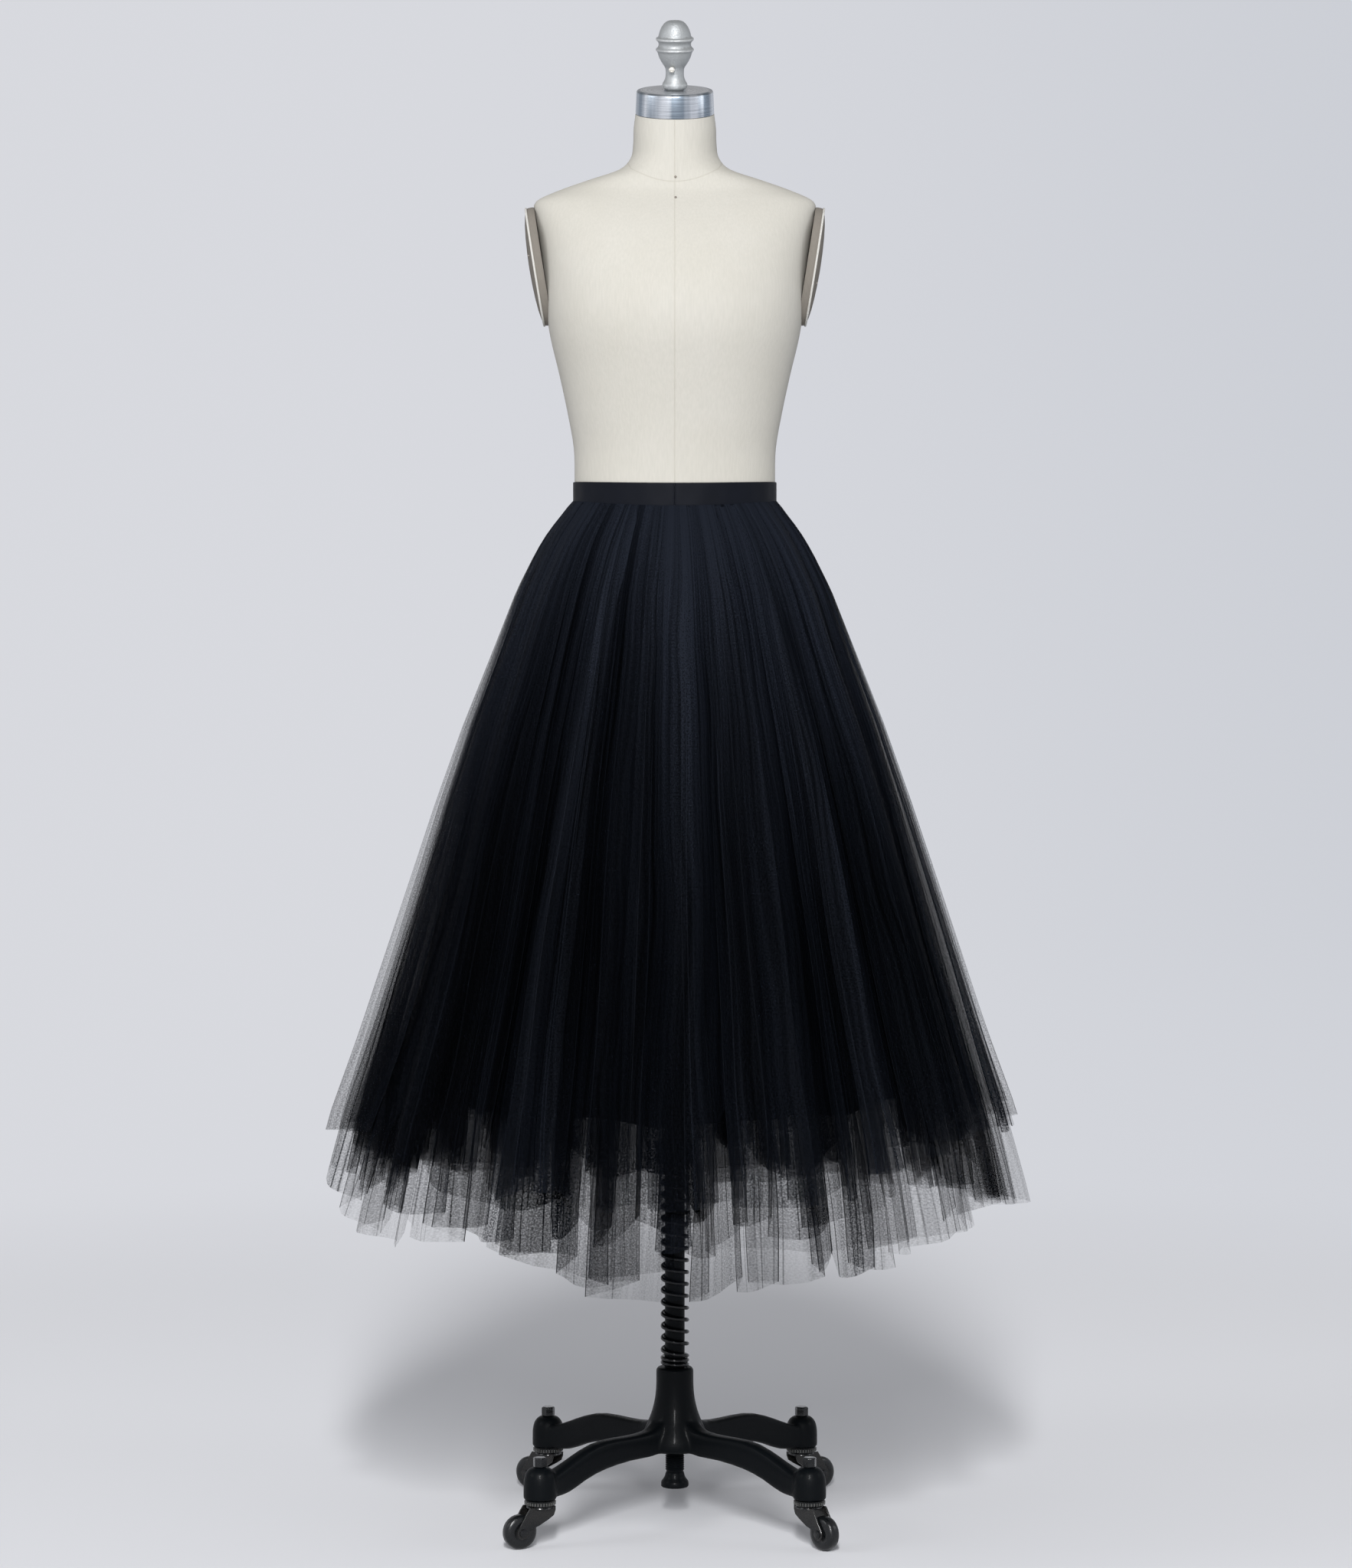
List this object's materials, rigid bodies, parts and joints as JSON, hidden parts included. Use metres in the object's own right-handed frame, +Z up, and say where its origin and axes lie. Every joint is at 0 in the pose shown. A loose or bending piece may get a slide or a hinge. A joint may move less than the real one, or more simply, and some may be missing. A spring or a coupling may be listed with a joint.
{
  "type": "layered tulle skirt on a dress form",
  "caption": "Long full skirt of gathered sheer tulle layers over a lining, with a plain waistband, on a limbless dress form on a wheeled iron stand.",
  "frame": {"origin": "on the floor, straight under the pole, at the middle of the stand", "axes": "+Z up along the pole; the front of the skirt and form faces -Y, so +X is at its left hand"},
  "size_m": [0.8406, 0.8338, 1.7788],
  "materials": {
    "tulle": "fine black net, sheer, soft sheen",
    "lining": "matt black lining cloth",
    "band_cloth": "smooth matt black woven band",
    "canvas": "undyed canvas over a moulded form",
    "brushed_steel": "turned and brushed",
    "silver_paint": "aged silver paint on cast metal",
    "black_enamel": "black enamel, chipped on the edges",
    "black_steel": "glossy black steel",
    "wheel_rubber": "hard black tread"
  },
  "bodies": {
    "base": {"base_casting": "black_enamel", "spring": "black_steel", "caster_bolt_rear_right": "black_steel", "caster_race_rear_right": "black_steel", "caster_bolt_rear_left": "black_steel", "caster_race_rear_left": "black_steel", "caster_bolt_front_left": "black_steel", "caster_race_front_left": "black_steel", "caster_bolt_front_right": "black_steel", "caster_race_front_right": "black_steel"},
    "mast": {"pole": "black_enamel", "pole_foot": "black_enamel", "spring_collar": "black_enamel"},
    "form": {"tulle_layer_5": "tulle", "tulle_layer_4": "tulle", "tulle_layer_3": "tulle", "tulle_layer_2": "tulle", "tulle_layer_1": "tulle", "lining": "lining", "waistband_left": "band_cloth", "waistband_right": "band_cloth", "form_torso": "canvas", "arm_plate_left": "canvas", "arm_plate_right": "canvas", "form_flange": "black_steel", "neck_cap": "brushed_steel", "finial": "silver_paint", "finial_screw": "silver_paint"},
    "fork_rear_right": {"caster_fork_rear_right": "black_steel"},
    "wheel_rear_right": {"caster_wheel_rear_right": "wheel_rubber"},
    "fork_rear_left": {"caster_fork_rear_left": "black_steel"},
    "wheel_rear_left": {"caster_wheel_rear_left": "wheel_rubber"},
    "fork_front_left": {"caster_fork_front_left": "black_steel"},
    "wheel_front_left": {"caster_wheel_front_left": "wheel_rubber"},
    "fork_front_right": {"caster_fork_front_right": "black_steel"},
    "wheel_front_right": {"caster_wheel_front_right": "wheel_rubber"}
  },
  "joints": [
    {"name": "mast_height", "type": "slide", "parent": "base", "child": "mast", "axis": [0, 0, 1], "range_m": [-0.034, 0.024], "deforming": ["spring"]},
    {"name": "form_turn", "type": "hinge", "parent": "mast", "child": "form", "pos_m": [0, 0, 0.9], "axis": [0, 0, 1], "continuous": true},
    {"name": "swivel_rear_right", "type": "hinge", "parent": "base", "child": "fork_rear_right", "pos_m": [0.156, 0.156, 0.05], "axis": [0, 0, 1], "continuous": true},
    {"name": "roll_rear_right", "type": "hinge", "parent": "fork_rear_right", "child": "wheel_rear_right", "pos_m": [0.1778, 0.17016, 0.02], "axis": [-0.5446, 0.8387, 0], "continuous": true},
    {"name": "swivel_rear_left", "type": "hinge", "parent": "base", "child": "fork_rear_left", "pos_m": [-0.156, 0.156, 0.05], "axis": [0, 0, 1], "continuous": true},
    {"name": "roll_rear_left", "type": "hinge", "parent": "fork_rear_left", "child": "wheel_rear_left", "pos_m": [-0.17755, 0.17054, 0.02], "axis": [-0.5592, -0.829, 0], "continuous": true},
    {"name": "swivel_front_left", "type": "hinge", "parent": "base", "child": "fork_front_left", "pos_m": [-0.156, -0.156, 0.05], "axis": [0, 0, 1], "continuous": true},
    {"name": "roll_front_left", "type": "hinge", "parent": "fork_front_left", "child": "wheel_front_left", "pos_m": [-0.17937, -0.1674, 0.02], "axis": [0.4384, -0.8988, 0], "continuous": true},
    {"name": "swivel_front_right", "type": "hinge", "parent": "base", "child": "fork_front_right", "pos_m": [0.156, -0.156, 0.05], "axis": [0, 0, 1], "continuous": true},
    {"name": "roll_front_right", "type": "hinge", "parent": "fork_front_right", "child": "wheel_front_right", "pos_m": [0.17271, -0.17592, 0.02], "axis": [0.766, 0.6428, 0], "continuous": true}
  ]
}
